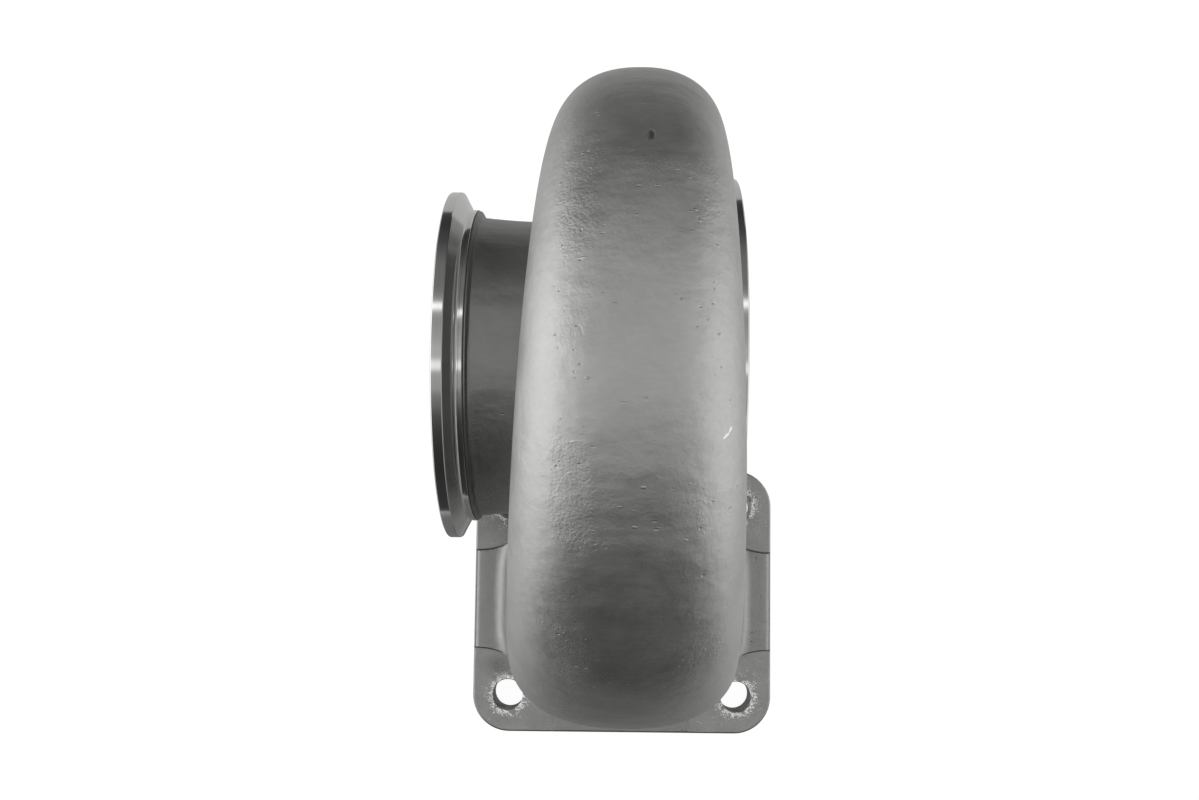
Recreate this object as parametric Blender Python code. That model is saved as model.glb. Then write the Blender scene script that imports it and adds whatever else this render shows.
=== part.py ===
"""Turbine housing of a turbocharger, cast in one piece in stainless steel.

Exhaust gas enters through the rectangular port of the four-bolt inlet flange, runs up a short duct into the
scroll, and leaves the scroll inwards through the ring-shaped nozzle slot. The turbine wheel turns in the
bore beside that slot, and the gas leaves it along the axis through the outlet neck.

The origin is the centre of the inlet flange's gasket face. +Z points from that face to the scroll, and the
turbine axis is parallel to X: the outlet is at -X and the bearing housing joins at +X.
"""
import math

import bmesh
import bpy
import numpy as np

MM = 0.001

# Turbine axis
AXIS_Y = 85.1 * MM
AXIS_HEIGHT = 100.7 * MM

# Inlet flange, with its bolt holes and the raised cast pads between its corners
BOLT_PITCH_X = 93.7 * MM
BOLT_PITCH_Y = 78.2 * MM
BOLT_HOLE_RADIUS = 6.2 * MM
FLANGE_MARGIN_X = 14.25 * MM
FLANGE_MARGIN_Y = 14.9 * MM
FLANGE_LENGTH = BOLT_PITCH_X + 2.0 * FLANGE_MARGIN_X
FLANGE_WIDTH = BOLT_PITCH_Y + 2.0 * FLANGE_MARGIN_Y
FLANGE_THICKNESS = 15.0 * MM
FLANGE_CORNER_RADIUS = 15.0 * MM
FLANGE_EDGE_CHAMFER = 0.6 * MM
PAD_HEIGHT = 2.2 * MM
PAD_LENGTH = 55.0 * MM
PAD_WIDTH = 40.0 * MM
PAD_CORNER_RADIUS = 26.0 * MM
PAD_EDGE_ROUND = 1.2 * MM
PAD_INSET = 0.4 * MM

# Inlet port and duct
PORT_LENGTH = 73.0 * MM
PORT_WIDTH = 51.0 * MM
PORT_SQUARENESS = 6.0
DUCT_WALL = 6.5 * MM
DUCT_SQUARENESS = 4.2
DUCT_FILLET = 5.0 * MM

# Sizes that both clamp rings share
CLAMP_RIM_HEIGHT = 6.0 * MM
CLAMP_RIM_LENGTH = 3.8 * MM
CLAMP_CONE_LENGTH = 2.9 * MM
CLAMP_COLLAR_LENGTH = 2.3 * MM
CLAMP_EDGE_CHAMFER = 0.5 * MM
CLAMP_CLEARANCE = 3.0 * MM
CLAMP_RELIEF_LENGTH = 1.6 * MM

# Outlet neck and its clamp ring, from the bore outwards
OUTLET_FACE_X = -61.0 * MM
OUTLET_BORE_RADIUS = 46.0 * MM
OUTLET_REGISTER_STEP = 3.5 * MM
OUTLET_REGISTER_DEPTH = 2.5 * MM
OUTLET_REGISTER_WALL = 4.5 * MM
NECK_WALL = 4.5 * MM
NECK_TAPER_LENGTH = 5.0 * MM
NECK_RADIUS = OUTLET_BORE_RADIUS + NECK_WALL
OUTLET_REGISTER_RADIUS = OUTLET_BORE_RADIUS + OUTLET_REGISTER_STEP
OUTLET_COLLAR_RADIUS = OUTLET_REGISTER_RADIUS + OUTLET_REGISTER_WALL
OUTLET_RIM_RADIUS = OUTLET_COLLAR_RADIUS + CLAMP_RIM_HEIGHT

# Bearing side: the bore that the heat shield closes, its register and its clamp ring
BEARING_FACE_X = 35.9 * MM
BEARING_BORE_RADIUS = 50.5 * MM
BEARING_REGISTER_STEP = 5.5 * MM
BEARING_REGISTER_DEPTH = 3.0 * MM
BEARING_REGISTER_WALL = 3.6 * MM
BEARING_REGISTER_RADIUS = BEARING_BORE_RADIUS + BEARING_REGISTER_STEP
BEARING_COLLAR_RADIUS = BEARING_REGISTER_RADIUS + BEARING_REGISTER_WALL
BEARING_RIM_RADIUS = BEARING_COLLAR_RADIUS + CLAMP_RIM_HEIGHT

# Scroll: its wall, its outside's reach from the turbine axis, its side walls, and the power of what is left
# of the turn with which the bearing side and the outlet valley's fillet fall
SCROLL_WALL = 5.0 * MM
PASSAGE_FLOOR_RADIUS = 58.0 * MM
TAIL_PASSAGE_HEIGHT = 9.0 * MM
SCROLL_REACH_INLET = 124.7 * MM
SCROLL_REACH_TAIL = PASSAGE_FLOOR_RADIUS + TAIL_PASSAGE_HEIGHT + SCROLL_WALL
SCROLL_ROOT_DEPTH = 4.5 * MM
SCROLL_ROOT_RADIUS = NECK_RADIUS - SCROLL_ROOT_DEPTH
OUTLET_SIDE_INLET = -40.2 * MM
OUTLET_SIDE_TAIL = -5.5 * MM
BEARING_SIDE_INLET = 38.3 * MM
BEARING_SIDE_TAIL = 26.7 * MM
FALL_POWER = 3
CROWN_X_INLET = 1.7 * MM
CROWN_X_TAIL = 7.0 * MM
OUTLET_SIDE_BELLY = (0.63, 0.35)
BEARING_SIDE_BELLY = (0.70, 0.56)
OUTLET_SIDE_SQUARENESS = 2.43
BEARING_SIDE_SQUARENESS = 2.16
BEARING_VALLEY_SQUARENESS = 1.5
OUTLET_VALLEY_FILLET_INLET = 16.0 * MM
OUTLET_VALLEY_FILLET_TAIL = 6.0 * MM
BEARING_VALLEY_FILLET = 3.0 * MM

# Turbine wheel's bore and the nozzle slot
NOZZLE_START_X = 6.0 * MM
NOZZLE_WIDTH = 13.0 * MM
NOZZLE_OVERRUN = 3.0 * MM
NOZZLE_OUTER_RADIUS = PASSAGE_FLOOR_RADIUS + NOZZLE_OVERRUN
WHEEL_INLET_RADIUS = 42.5 * MM
WHEEL_OUTLET_RADIUS = 38.5 * MM
WHEEL_OUTLET_X = -14.0 * MM
DIFFUSER_START_X = -18.0 * MM
DIFFUSER_END_X = -46.0 * MM

# Shares of the full turn at which the skin and the passage run out inside the duct
OUTSIDE_END = 0.985
PASSAGE_END = 0.985

# How finely the curved surfaces are divided
SCROLL_STEPS = 48
DUCT_STEPS = 7
CROWN_POINTS = 25
VALLEY_POINTS = 4
PASSAGE_POINTS = 26
TURNED_STEPS = 64
HOLE_STEPS = 24
CONTOUR_POINTS = 6
TANGENT_SAMPLES = 181

# Reach of a cutter past the face that it opens, how deep a fillet's foot is sunk into the turned hub, and how
# close two points are one point
CUT_MARGIN = 5.0 * MM
FOOT_DEPTH = 0.2 * MM
MERGE_DISTANCE = 0.002 * MM


def clear_scene():
    for item in list(bpy.data.objects):
        bpy.data.objects.remove(item, do_unlink=True)


def cast_steel():
    material = bpy.data.materials.new("cast_stainless_steel")
    material.use_nodes = True
    shader = material.node_tree.nodes["Principled BSDF"]
    shader.inputs["Base Color"].default_value = (0.42, 0.42, 0.41, 1.0)
    shader.inputs["Metallic"].default_value = 1.0
    shader.inputs["Roughness"].default_value = 0.45
    return material


def object_from(shape, name):
    """Closes a bmesh into an object whose faces point outwards."""
    bmesh.ops.remove_doubles(shape, verts=shape.verts, dist=MERGE_DISTANCE)
    bmesh.ops.recalc_face_normals(shape, faces=shape.faces)
    mesh = bpy.data.meshes.new(name)
    shape.to_mesh(mesh)
    shape.free()
    item = bpy.data.objects.new(name, mesh)
    bpy.context.scene.collection.objects.link(item)
    return item


def as_tool(item):
    """Marks a shape that only serves the Boolean operations."""
    item.hide_render = True
    item.display_type = "WIRE"
    return item


def combine(target, tool, operation, crosses_itself=False):
    """A Boolean step with another shape, then a weld of the points that it leaves on one spot."""
    step = target.modifiers.new(f"{operation.lower()}_{tool.name}", "BOOLEAN")
    step.operation = operation
    step.solver = "EXACT"
    step.use_self = crosses_itself
    step.object = as_tool(tool)
    weld = target.modifiers.new(f"weld_{tool.name}", "WELD")
    weld.merge_threshold = MERGE_DISTANCE


def lofted(name, rings):
    """A closed skin over rings of equal point counts, with flat ends."""
    shape = bmesh.new()
    loops = [[shape.verts.new(point) for point in ring] for ring in rings]
    count = len(loops[0])
    for near, far in zip(loops, loops[1:]):
        for i in range(count):
            j = (i + 1) % count
            shape.faces.new((near[i], near[j], far[j], far[i]))
    shape.faces.new(loops[0])
    shape.faces.new(loops[-1])
    return object_from(shape, name)


def turned(name, profile):
    """A profile of (x, radius) points, from the turbine axis back to it, spun around that axis."""
    shape = bmesh.new()
    half_step = math.pi / TURNED_STEPS
    corners = [shape.verts.new((x, radius * math.sin(half_step), radius * math.cos(half_step)))
               for x, radius in profile]
    edges = [shape.edges.new(pair) for pair in zip(corners, corners[1:])]
    bmesh.ops.spin(shape, geom=corners + edges, axis=(1.0, 0.0, 0.0), cent=(0.0, 0.0, 0.0),
                   angle=2.0 * math.pi, steps=TURNED_STEPS, use_duplicate=False)
    bmesh.ops.translate(shape, verts=shape.verts, vec=(0.0, AXIS_Y, AXIS_HEIGHT))
    return object_from(shape, name)


def section_points(section, angle):
    """Points (x, radius) of a section made of four rounded quarters, at angles counted from its crown.

    The quarters meet at the crown (furthest from the axis), the two bellies (widest) and the floor.
    Each quarter is a superellipse, whose squareness goes from 2, an ellipse, towards a square corner.
    """
    across, along = np.sin(angle), np.cos(angle)
    left, crown = across < 0.0, along > 0.0
    right_squareness = np.where(crown, section["right_squareness"], section["valley_squareness"])
    power = 2.0 / np.where(left, section["left_squareness"], right_squareness)
    tip_x = np.where(crown, section["crown_x"], section["floor_x"])
    side_x = np.where(left, section["left"], section["right"])
    belly = np.where(left, section["left_belly"], section["right_belly"])
    tip = np.where(crown, section["crown"], section["floor"])
    x = tip_x + (side_x - tip_x) * np.abs(across) ** power
    radius = belly + (tip - belly) * np.abs(along) ** power
    return np.stack([x, radius], axis=1)


def closed_loop(section, count):
    return section_points(section, np.arange(count) * 2.0 * math.pi / count)


def valley(section, side, hub_radius, fillet):
    """Where the scroll's side wall turns into the hub: the angle at which a fillet touches the wall,
    and the fillet's points from there down to the hub."""
    angle = side * np.linspace(0.02, 0.98, TANGENT_SAMPLES) * math.pi
    points = section_points(section, angle)
    along = np.gradient(points, axis=0)
    along /= np.linalg.norm(along, axis=1)[:, None]
    outwards = side * np.stack([-along[:, 1], along[:, 0]], axis=1)
    centres = points + fillet * outwards
    centre_radius = hub_radius - FOOT_DEPTH + fillet
    touch = np.interp(-centre_radius, -centres[:, 1], np.abs(angle))
    centre_x = np.interp(-centre_radius, -centres[:, 1], centres[:, 0])
    start = section_points(section, np.array([side * touch]))[0] - (centre_x, centre_radius)
    slope = math.atan2(-start[0] * side, -start[1])
    turn = np.linspace(slope, 0.0, VALLEY_POINTS)
    arc_x = centre_x - side * fillet * np.sin(turn)
    return touch, np.stack([arc_x, centre_radius - fillet * np.cos(turn)], axis=1)


def skin_loop(section):
    """The outside of a section: from one valley over the crown to the other, closed inside the hub."""
    left_touch, left_arc = valley(section, -1.0, NECK_RADIUS, section["outlet_fillet"])
    right_touch, right_arc = valley(section, 1.0, BEARING_COLLAR_RADIUS, BEARING_VALLEY_FILLET)
    over = section_points(section, np.linspace(-left_touch, right_touch, CROWN_POINTS))
    inside = np.array([[right_arc[-1, 0], section["floor"]], [left_arc[-1, 0], section["floor"]]])
    return np.concatenate([over, right_arc[1:], inside, left_arc[:0:-1]])


def flange_section(wall):
    """The duct where it stands on the flange: the port, grown by its wall."""
    half_length = PORT_LENGTH / 2.0 + wall
    half_width = PORT_WIDTH / 2.0 + wall
    squareness = DUCT_SQUARENESS if wall else PORT_SQUARENESS
    return {"left": -half_length, "right": half_length, "crown_x": 0.0, "floor_x": 0.0,
            "crown": AXIS_Y + half_width, "floor": AXIS_Y - half_width,
            "left_belly": AXIS_Y, "right_belly": AXIS_Y,
            "left_squareness": squareness, "right_squareness": squareness, "valley_squareness": squareness}


def between(start, end, share):
    return start + (end - start) * share


def scroll_section(turn, wall, floor):
    """The scroll after a share of its full turn; wall takes the inside off the outside's sizes."""
    crown = between(SCROLL_REACH_INLET, SCROLL_REACH_TAIL, turn) - wall
    fall = (1.0 - turn) ** FALL_POWER
    return {"left": between(OUTLET_SIDE_INLET, OUTLET_SIDE_TAIL, turn) + wall,
            "right": between(BEARING_SIDE_TAIL, BEARING_SIDE_INLET, fall) - wall,
            "crown_x": between(CROWN_X_INLET, CROWN_X_TAIL, turn),
            "floor_x": NOZZLE_START_X + NOZZLE_WIDTH / 2.0, "crown": crown, "floor": floor,
            "left_belly": between(floor, crown, between(*OUTLET_SIDE_BELLY, turn)),
            "right_belly": between(floor, crown, between(*BEARING_SIDE_BELLY, turn)),
            "left_squareness": OUTLET_SIDE_SQUARENESS, "right_squareness": BEARING_SIDE_SQUARENESS,
            "valley_squareness": BEARING_VALLEY_SQUARENESS,
            "outlet_fillet": between(OUTLET_VALLEY_FILLET_TAIL, OUTLET_VALLEY_FILLET_INLET, fall)}


def blended(first, second, share):
    """A loop part of the way from the first to the second, easing out of one and into the other."""
    ease = share * share * (3.0 - 2.0 * share)
    return first + (second - first) * ease


def grown(section, amount):
    """The same section with every wall moved outwards."""
    bigger = dict(section)
    bigger["left"] -= amount
    bigger["right"] += amount
    bigger["crown"] += amount
    bigger["floor"] -= amount
    return bigger


def straight_ring(loop, height):
    return [(x, AXIS_Y - radius, height) for x, radius in loop]


def turned_ring(loop, angle):
    return [(x, AXIS_Y - radius * math.cos(angle), AXIS_HEIGHT + radius * math.sin(angle)) for x, radius in loop]


def clamp_relief():
    """Room for the clamp behind the bearing-side ring, turned out of the scroll's wall."""
    cone_foot = BEARING_FACE_X - CLAMP_RIM_LENGTH - CLAMP_CONE_LENGTH
    start = cone_foot - CLAMP_RELIEF_LENGTH
    radius = BEARING_RIM_RADIUS + CLAMP_CLEARANCE
    end = max(BEARING_FACE_X, BEARING_SIDE_INLET) + CUT_MARGIN
    return turned("clamp_relief", [(start, 0.0), (start, radius), (end, radius), (end, 0.0)])


def scroll_outside():
    """Duct and scroll as cast, filled solid, with the fillet where the duct stands on the flange."""
    inlet = skin_loop(scroll_section(0.0, 0.0, SCROLL_ROOT_RADIUS))
    count = len(inlet)
    start = math.pi * (CROWN_POINTS - 1) / count
    angles = np.linspace(-start, 2.0 * math.pi - start, count, endpoint=False)
    foot = [section_points(grown(flange_section(DUCT_WALL), flare), angles)
            for flare in DUCT_FILLET * (1.0 - np.sin(np.radians([0.0, 10.0, 35.0, 60.0, 90.0])))]
    climb = DUCT_FILLET * (1.0 - np.cos(np.radians([10.0, 35.0, 60.0, 90.0])))
    rings = [straight_ring(foot[0], FLANGE_THICKNESS / 2.0)]
    for loop, rise in zip(foot[1:], climb):
        share = rise / (AXIS_HEIGHT - FLANGE_THICKNESS)
        rings.append(straight_ring(blended(loop, inlet, share), FLANGE_THICKNESS + rise))
    fillet_share = DUCT_FILLET / (AXIS_HEIGHT - FLANGE_THICKNESS)
    for share in np.linspace(fillet_share, 1.0, DUCT_STEPS + 1)[1:-1]:
        height = between(FLANGE_THICKNESS, AXIS_HEIGHT, share)
        rings.append(straight_ring(blended(foot[-1], inlet, share), height))
    for turn in np.linspace(0.0, OUTSIDE_END, SCROLL_STEPS + 1):
        loop = skin_loop(scroll_section(turn, 0.0, SCROLL_ROOT_RADIUS))
        rings.append(turned_ring(loop, 2.0 * math.pi * turn))
    skin = lofted("scroll_outside", rings)
    combine(skin, clamp_relief(), "DIFFERENCE", crosses_itself=True)
    return skin


def scroll_passage():
    """The gas's way from the port to the tongue, cut out of the casting."""
    port = closed_loop(flange_section(0.0), PASSAGE_POINTS)
    inlet = closed_loop(scroll_section(0.0, SCROLL_WALL, PASSAGE_FLOOR_RADIUS), PASSAGE_POINTS)
    rings = [straight_ring(port, -CUT_MARGIN)]
    for share in np.linspace(0.0, 1.0, DUCT_STEPS + 1)[:-1]:
        rings.append(straight_ring(blended(port, inlet, share), AXIS_HEIGHT * share))
    for turn in np.linspace(0.0, PASSAGE_END, SCROLL_STEPS + 1):
        loop = closed_loop(scroll_section(turn, SCROLL_WALL, PASSAGE_FLOOR_RADIUS), PASSAGE_POINTS)
        rings.append(turned_ring(loop, 2.0 * math.pi * turn))
    return lofted("scroll_passage", rings)


def clamp_ring(face_x, towards_middle, rim_radius, collar_radius):
    """Outline of a clamp ring from its face inwards: chamfered rim, cone for the clamp, collar."""
    rim_end = face_x + towards_middle * CLAMP_RIM_LENGTH
    cone_end = rim_end + towards_middle * CLAMP_CONE_LENGTH
    collar_end = cone_end + towards_middle * CLAMP_COLLAR_LENGTH
    return [(face_x, rim_radius - CLAMP_EDGE_CHAMFER),
            (face_x + towards_middle * CLAMP_EDGE_CHAMFER, rim_radius),
            (rim_end - towards_middle * CLAMP_EDGE_CHAMFER, rim_radius),
            (rim_end, rim_radius - CLAMP_EDGE_CHAMFER),
            (cone_end, collar_radius),
            (collar_end, collar_radius)]


def hub():
    """Outlet neck, middle and both clamp rings as one turned form, still filled."""
    middle = NOZZLE_START_X + NOZZLE_WIDTH / 2.0
    outlet = clamp_ring(OUTLET_FACE_X, 1.0, OUTLET_RIM_RADIUS, OUTLET_COLLAR_RADIUS)
    bearing = clamp_ring(BEARING_FACE_X, -1.0, BEARING_RIM_RADIUS, BEARING_COLLAR_RADIUS)
    neck_start = outlet[-1][0] + NECK_TAPER_LENGTH
    profile = [(OUTLET_FACE_X, 0.0)] + outlet
    profile += [(neck_start, NECK_RADIUS), (middle - NOZZLE_WIDTH / 2.0, NECK_RADIUS)]
    profile += [(middle, BEARING_COLLAR_RADIUS)] + bearing[::-1]
    profile += [(BEARING_FACE_X, 0.0)]
    return turned("hub", profile)


def bore():
    """Everything that is turned out along the axis, nozzle slot included."""
    nozzle_end = NOZZLE_START_X + NOZZLE_WIDTH
    outlet_mouth = OUTLET_FACE_X - CUT_MARGIN
    bearing_mouth = BEARING_FACE_X + CUT_MARGIN
    outlet_step = OUTLET_FACE_X + OUTLET_REGISTER_DEPTH
    bearing_step = BEARING_FACE_X - BEARING_REGISTER_DEPTH
    profile = [(outlet_mouth, 0.0), (outlet_mouth, OUTLET_REGISTER_RADIUS),
               (outlet_step, OUTLET_REGISTER_RADIUS), (outlet_step, OUTLET_BORE_RADIUS),
               (DIFFUSER_END_X, OUTLET_BORE_RADIUS), (DIFFUSER_START_X, WHEEL_OUTLET_RADIUS)]
    for angle in np.linspace(0.0, math.pi / 2.0, CONTOUR_POINTS):
        x = between(WHEEL_OUTLET_X, NOZZLE_START_X, math.sin(angle))
        profile.append((x, between(WHEEL_OUTLET_RADIUS, WHEEL_INLET_RADIUS, 1.0 - math.cos(angle))))
    profile += [(NOZZLE_START_X, NOZZLE_OUTER_RADIUS), (nozzle_end, NOZZLE_OUTER_RADIUS),
                (nozzle_end, BEARING_BORE_RADIUS), (bearing_step, BEARING_BORE_RADIUS),
                (bearing_step, BEARING_REGISTER_RADIUS), (bearing_mouth, BEARING_REGISTER_RADIUS),
                (bearing_mouth, 0.0)]
    return turned("bore", profile)


def arc(centre, radius, start, end, points):
    angles = np.radians(np.linspace(start, end, points))
    return [(centre[0] + radius * math.cos(a), centre[1] + radius * math.sin(a)) for a in angles]


def plate(name, outline, bottom, top):
    """An outline in x and y, extruded upwards."""
    shape = bmesh.new()
    face = shape.faces.new([shape.verts.new((x, y, bottom)) for x, y in outline])
    walls = bmesh.ops.extrude_face_region(shape, geom=[face])
    raised = [part for part in walls["geom"] if isinstance(part, bmesh.types.BMVert)]
    bmesh.ops.translate(shape, verts=raised, vec=(0.0, 0.0, top - bottom))
    return object_from(shape, name)


def soften(item, width, segments, where):
    """Bevels the edges that the test picks."""
    shape = bmesh.new()
    shape.from_mesh(item.data)
    picked = [edge for edge in shape.edges if where(edge)]
    bmesh.ops.bevel(shape, geom=picked, offset=width, segments=segments, profile=0.5, affect="EDGES")
    shape.to_mesh(item.data)
    shape.free()


def lies_at(height):
    return lambda edge: all(abs(vert.co.z - height) < 1e-6 for vert in edge.verts)


def bolt_hole(name, x, y):
    shape = bmesh.new()
    length = FLANGE_THICKNESS + PAD_HEIGHT + 2.0 * CUT_MARGIN
    bmesh.ops.create_cone(shape, cap_ends=True, segments=HOLE_STEPS, radius1=BOLT_HOLE_RADIUS,
                          radius2=BOLT_HOLE_RADIUS, depth=length)
    bmesh.ops.translate(shape, verts=shape.verts, vec=(x, y, length / 2.0 - CUT_MARGIN))
    return object_from(shape, name)


def bolt_holes():
    """One drill for each corner of the bolt pattern."""
    drills = []
    for side_x, sign_x in (("outlet", -1), ("bearing", 1)):
        for side_y, sign_y in (("front", -1), ("back", 1)):
            place = (sign_x * BOLT_PITCH_X / 2.0, sign_y * BOLT_PITCH_Y / 2.0)
            drills.append(bolt_hole(f"bolt_hole_{side_x}_{side_y}", *place))
    return drills


def flange_plate():
    corner_x = FLANGE_LENGTH / 2.0 - FLANGE_CORNER_RADIUS
    corner_y = FLANGE_WIDTH / 2.0 - FLANGE_CORNER_RADIUS
    outline = []
    for sign_x, sign_y, start in ((1, 1, 0.0), (-1, 1, 90.0), (-1, -1, 180.0), (1, -1, 270.0)):
        outline += arc((sign_x * corner_x, sign_y * corner_y), FLANGE_CORNER_RADIUS, start, start + 90.0, 8)
    item = plate("flange_plate", outline, 0.0, FLANGE_THICKNESS)
    soften(item, FLANGE_EDGE_CHAMFER, 1, lies_at(FLANGE_THICKNESS))
    return item


def flange_pads():
    """The cross of raised cast metal between the machined corners of the flange."""
    half_x, half_y = PAD_LENGTH / 2.0, PAD_WIDTH / 2.0
    end_x, end_y = FLANGE_LENGTH / 2.0 - PAD_INSET, FLANGE_WIDTH / 2.0 - PAD_INSET
    radius = min(PAD_CORNER_RADIUS, end_x - half_x, end_y - half_y)
    outline = []
    for quarter in range(4):
        sign_x = 1 if quarter in (0, 3) else -1
        sign_y = 1 if quarter < 2 else -1
        centre = (half_x + radius, half_y + radius)
        inner = arc(centre, radius, 270.0, 180.0, 7)
        points = [(end_x, half_y)] + inner + [(half_x, end_y)]
        points = [(sign_x * x, sign_y * y) for x, y in points]
        outline += points if quarter % 2 == 0 else points[::-1]
    top = FLANGE_THICKNESS + PAD_HEIGHT
    item = plate("flange_pads", outline, FLANGE_THICKNESS - PAD_HEIGHT, top)
    soften(item, min(PAD_EDGE_ROUND, PAD_HEIGHT), 2, lies_at(top))
    return item


def turbine_housing():
    housing = hub()
    housing.name = "turbine_housing"
    housing.data.materials.append(cast_steel())
    combine(housing, scroll_outside(), "UNION", crosses_itself=True)
    combine(housing, flange_plate(), "UNION")
    combine(housing, flange_pads(), "UNION")
    for drill in bolt_holes():
        combine(housing, drill, "DIFFERENCE")
    combine(housing, scroll_passage(), "DIFFERENCE", crosses_itself=True)
    combine(housing, bore(), "DIFFERENCE")
    housing.data.shade_smooth()
    housing.data.set_sharp_from_angle(angle=math.radians(30.0))
    return housing


clear_scene()
turbine_housing()
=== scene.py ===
# %% [markdown]
# # A turbocharger's turbine housing
#
# Hot exhaust gas comes in through the rectangular flange, runs round the scroll, and is pressed inwards
# through a narrow ring-shaped slot on to the turbine wheel. The housing is one casting in stainless steel.
# Most of its skin is left as it came out of the mould, and only the faces that seal or guide are machined.
#
# This lesson rebuilds that casting as smooth surfaces, worked out with numpy, around a part made in CAD.
# The CAD part is the frame: everything here uses its axes.

# %% Load the imported part
import math

import bpy
import numpy as np
from mathutils import Matrix


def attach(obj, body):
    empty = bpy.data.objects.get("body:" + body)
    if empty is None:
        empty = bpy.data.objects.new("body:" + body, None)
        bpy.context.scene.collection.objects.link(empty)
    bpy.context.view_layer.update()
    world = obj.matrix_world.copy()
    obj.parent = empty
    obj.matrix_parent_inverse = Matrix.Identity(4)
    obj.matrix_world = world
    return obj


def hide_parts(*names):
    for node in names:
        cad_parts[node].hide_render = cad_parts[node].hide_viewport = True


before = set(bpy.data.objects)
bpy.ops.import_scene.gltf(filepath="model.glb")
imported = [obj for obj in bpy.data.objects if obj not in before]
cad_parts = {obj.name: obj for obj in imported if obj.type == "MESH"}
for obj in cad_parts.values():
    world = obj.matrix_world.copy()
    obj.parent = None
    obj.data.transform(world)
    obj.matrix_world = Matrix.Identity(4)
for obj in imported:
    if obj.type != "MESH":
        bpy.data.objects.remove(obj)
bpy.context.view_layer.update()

# %% [markdown]
# ## The axes and the main sizes
#
# The origin is the centre of the inlet flange's gasket face, and +Z points from it to the scroll. The wheel
# turns about a line parallel to X. A size is easier to read in millimetres, so each one is written as a
# number of them.

# %% Main sizes
MM = 0.001
AXIS_Y, AXIS_HEIGHT = 85.1 * MM, 100.7 * MM
FLANGE_THICKNESS = 15.0 * MM
PAD_TOP = 17.2 * MM
NECK_RADIUS, NECK_DROP = 50.7 * MM, 0.4 * MM
BEARING_COLLAR_RADIUS = 59.6 * MM
PORT_HALF_LENGTH, PORT_HALF_WIDTH = 36.5 * MM, 25.5 * MM
print("turbine axis at y and z, mm:", AXIS_Y / MM, AXIS_HEIGHT / MM)

# %% [markdown]
# ## Turning arrays of points into meshes
#
# Every surface below is an array of points with rows and columns. A row is one closed ring, and the rows
# follow each other along the piece. Neighbouring points make four-sided faces, and the first and last ring
# are closed with one flat face each, so that the result is a solid that a Boolean can work with.

# %% A solid from rings of points


def solid_from_rings(name, rings, materials, bands=None):
    """Joins the rings of an array (rows, columns, 3) into a closed object.

    Face (i, j) joins point j and point j + 1, counted round the ring, of row i and row i + 1.
    Bands gives a material's number for each of the strips between two rows."""
    rows, columns = rings.shape[:2]
    corner = np.arange(rows * columns).reshape(rows, columns)
    near, far = corner[:-1], corner[1:]
    faces = np.stack([near, np.roll(near, -1, 1), np.roll(far, -1, 1), far], axis=-1).reshape(-1, 4)
    mesh = bpy.data.meshes.new(name)
    mesh.from_pydata(rings.reshape(-1, 3).tolist(), [],
                     faces.tolist() + [corner[0, ::-1].tolist(), corner[-1].tolist()])
    for material in materials:
        mesh.materials.append(material)
    if bands is not None:
        numbers = np.append(np.repeat(bands, columns), [bands[0], bands[-1]])
        mesh.polygons.foreach_set("material_index", numbers.astype(np.int32))
    if signed_volume(mesh) < 0.0:
        mesh.flip_normals()
    item = bpy.data.objects.new(name, mesh)
    bpy.context.scene.collection.objects.link(item)
    print(name, len(mesh.polygons), "faces")
    return item


def signed_volume(mesh):
    """Sum over the triangles of a . (b x c) / 6, which is below zero when the faces point inwards."""
    mesh.calc_loop_triangles()
    places = np.empty(len(mesh.vertices) * 3)
    mesh.vertices.foreach_get("co", places)
    indices = np.empty(len(mesh.loop_triangles) * 3, dtype=np.int32)
    mesh.loop_triangles.foreach_get("vertices", indices)
    a, b, c = places.reshape(-1, 3)[indices.reshape(-1, 3)].transpose(1, 0, 2)
    return float((a * np.cross(b, c)).sum() / 6.0)


# %% [markdown]
# ## Adding and cutting solids
#
# A foundry makes one body, so the finished piece is one mesh. Each form is added to it or cut from it with a
# Boolean, and a cutter hands its own material to the face that it leaves, as a tool leaves its own finish.
# The weld closes the tiny cracks that rounding leaves.

# %% Boolean steps, applied at once
MERGE_DISTANCE = 0.002 * MM


def combine(target, tool, operation, crosses_itself=False):
    """Adds the tool to the target (UNION) or cuts it away (DIFFERENCE), and removes the tool."""
    step = target.modifiers.new(operation, "BOOLEAN")
    step.operation = operation
    step.solver = "EXACT"
    step.use_self = crosses_itself
    step.material_mode = "TRANSFER"
    step.object = tool
    weld = target.modifiers.new("weld", "WELD")
    weld.merge_threshold = MERGE_DISTANCE
    seen = target.evaluated_get(bpy.context.evaluated_depsgraph_get())
    result = bpy.data.meshes.new_from_object(seen)
    target.modifiers.clear()
    before = target.data
    target.data = result
    bpy.data.meshes.remove(before)
    bpy.data.meshes.remove(tool.data)
    print(operation, len(result.polygons), "faces")


# %% [markdown]
# ## Three finishes, named before they are made
#
# The skin as cast, the faces turned on a lathe, and the faces milled flat. Their nodes follow once the shape
# is there.

# %% Names of the finishes


def new_finish(name):
    material = bpy.data.materials.new(name)
    material.use_nodes = True
    return material


cast_steel = new_finish("cast_steel")
turned_steel = new_finish("turned_steel")
milled_steel = new_finish("milled_steel")
print([finish.name for finish in (cast_steel, turned_steel, milled_steel)])

# %% [markdown]
# ## The section of the scroll
#
# Cut the scroll across, and the outline is a rounded arch: a crown far from the axis, two bellies where it is
# widest, and a floor that is hidden in the hub. Each quarter between those four points is a superellipse, so
# one number per side says how square it is.

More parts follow.
